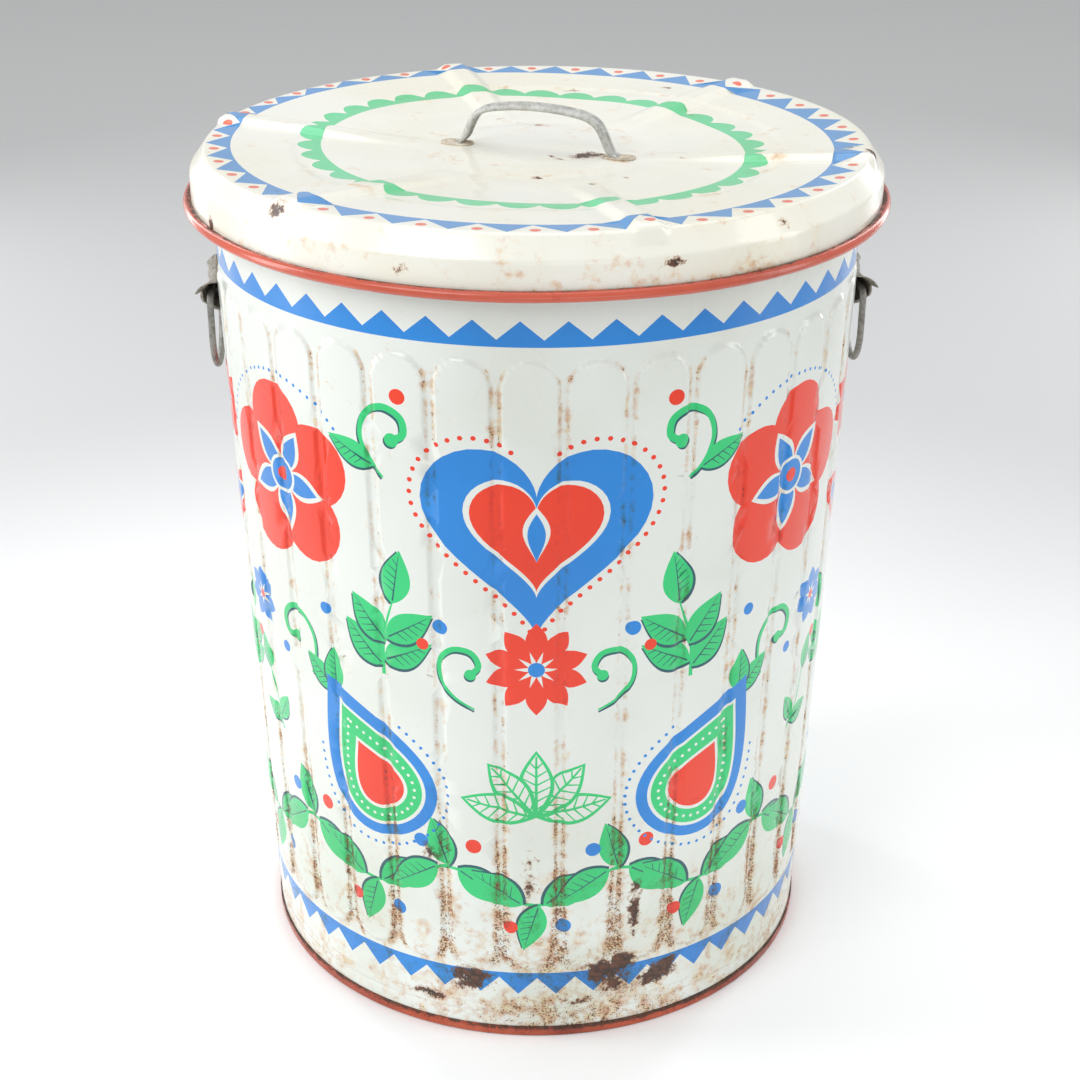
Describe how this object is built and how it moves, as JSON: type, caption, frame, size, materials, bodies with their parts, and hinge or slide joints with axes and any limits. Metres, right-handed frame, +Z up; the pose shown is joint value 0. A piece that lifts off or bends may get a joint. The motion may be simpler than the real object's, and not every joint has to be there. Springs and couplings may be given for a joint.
{
  "type": "metal trash can with lid",
  "caption": "Round tapered steel bin with fluted wall, lift-off domed lid with bent strap handle, and hinged wire drop handles on riveted side ears.",
  "frame": {"origin": "centre of the foot, on the floor", "axes": "+Z up along the can's axis; the front faces -Y; the drop handles hang on the +X and -X sides, turned 2 degrees about +Z"},
  "size_m": [0.4737, 0.4738, 0.6131],
  "materials": {
    "enamelled_steel": "worn off-white enamel with painted bands and rust",
    "galvanised_steel": "dull weathered zinc",
    "hoop_paint": "chipped red-brown paint"
  },
  "bodies": {
    "can": {"can_wall": "enamelled_steel", "can_bottom": "galvanised_steel", "foot_hoop": "hoop_paint", "ear_left": "galvanised_steel", "ear_right": "galvanised_steel", "ear_rivets": "galvanised_steel"},
    "lid": {"lid_shell": "enamelled_steel", "lid_handle": "galvanised_steel", "lid_rivets": "galvanised_steel"},
    "bail_left": {"bail_left": "galvanised_steel"},
    "bail_right": {"bail_right": "galvanised_steel"}
  },
  "joints": [
    {"name": "lid_lift", "type": "slide", "parent": "can", "child": "lid", "axis": [0, 0, 1], "range_m": [0, 0.2]},
    {"name": "bail_right_swing", "type": "hinge", "parent": "can", "child": "bail_right", "pos_m": [0.22186, 0.00775, 0.4895], "axis": [0.0349, -0.9994, 0], "range_deg": [-2, 95]},
    {"name": "bail_left_swing", "type": "hinge", "parent": "can", "child": "bail_left", "pos_m": [-0.22186, -0.00775, 0.4895], "axis": [-0.0349, 0.9994, 0], "range_deg": [-2, 95]}
  ]
}
